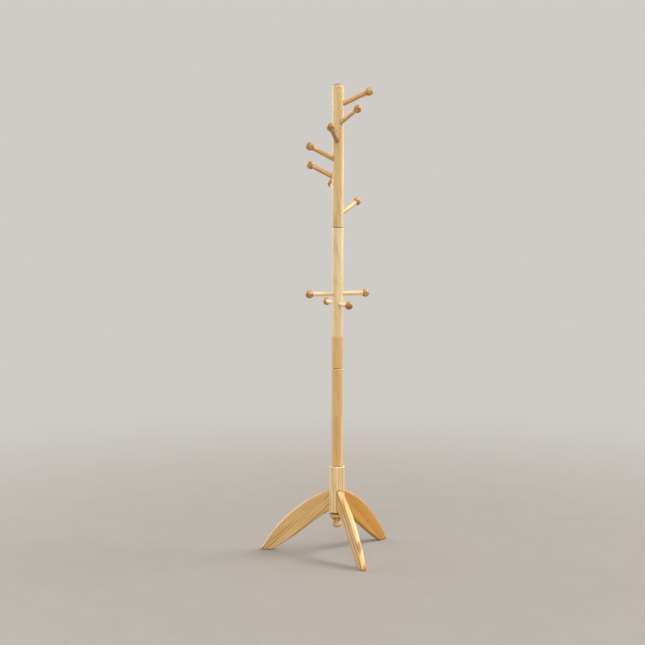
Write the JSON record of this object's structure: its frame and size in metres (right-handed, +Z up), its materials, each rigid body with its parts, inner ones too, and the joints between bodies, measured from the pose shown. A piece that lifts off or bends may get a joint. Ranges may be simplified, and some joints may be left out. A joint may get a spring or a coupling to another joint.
{
  "type": "standing coat rack",
  "caption": "Free-standing wooden coat rack: a round sectional pole with angled and level ball-ended pegs, a six-sided block and curved plank legs.",
  "frame": {"origin": "on the floor, under the centre of the rack's box", "axes": "+Z up along the pole; the front leg points towards -Y, and +X is to the right seen from the front"},
  "size_m": [0.5118, 0.4452, 1.76],
  "materials": {
    "pole_wood": "clear satin lacquer on finger-jointed rubberwood",
    "hub_wood": "clear satin lacquer",
    "leg_wood": "clear satin lacquer",
    "finial_wood": "clear satin lacquer",
    "hook_wood": "clear satin lacquer",
    "steel": "zinc plated",
    "brass": "plain",
    "pad_felt": "dark felt"
  },
  "bodies": {
    "root": {"upper_post": "pole_wood", "middle_post": "pole_wood", "lower_post": "pole_wood", "base_hub": "hub_wood", "base_finial": "finial_wood", "leg_front": "leg_wood", "leg_back_right": "leg_wood", "leg_back_left": "leg_wood", "foot_pad_front": "pad_felt", "foot_pad_back_right": "pad_felt", "foot_pad_back_left": "pad_felt", "upper_hook_1": "hook_wood", "upper_hook_2": "hook_wood", "upper_hook_3": "hook_wood", "upper_hook_4": "hook_wood", "upper_hook_5": "hook_wood", "upper_hook_6": "hook_wood", "upper_hook_7": "hook_wood", "lower_hook_1": "hook_wood", "lower_hook_2": "hook_wood", "lower_hook_3": "hook_wood", "lower_hook_4": "hook_wood", "upper_hook_1_bolt": "steel", "upper_hook_2_bolt": "steel", "upper_hook_3_bolt": "steel", "upper_hook_4_bolt": "steel", "upper_hook_5_bolt": "steel", "upper_hook_6_bolt": "steel", "upper_hook_7_bolt": "steel", "lower_hook_1_bolt": "steel", "lower_hook_2_bolt": "steel", "lower_hook_3_bolt": "steel", "lower_hook_4_bolt": "steel", "upper_hook_1_insert": "brass", "upper_hook_2_insert": "brass", "upper_hook_3_insert": "brass", "upper_hook_4_insert": "brass", "upper_hook_5_insert": "brass", "upper_hook_6_insert": "brass", "upper_hook_7_insert": "brass", "lower_hook_1_insert": "brass", "lower_hook_2_insert": "brass", "lower_hook_3_insert": "brass", "lower_hook_4_insert": "brass", "upper_post_stud": "steel", "middle_post_stud": "steel", "lower_post_stud": "steel", "finial_stud": "steel", "middle_post_insert": "brass", "lower_post_insert": "brass", "hub_top_insert": "brass", "hub_bottom_insert": "brass"}
  },
  "joints": []
}
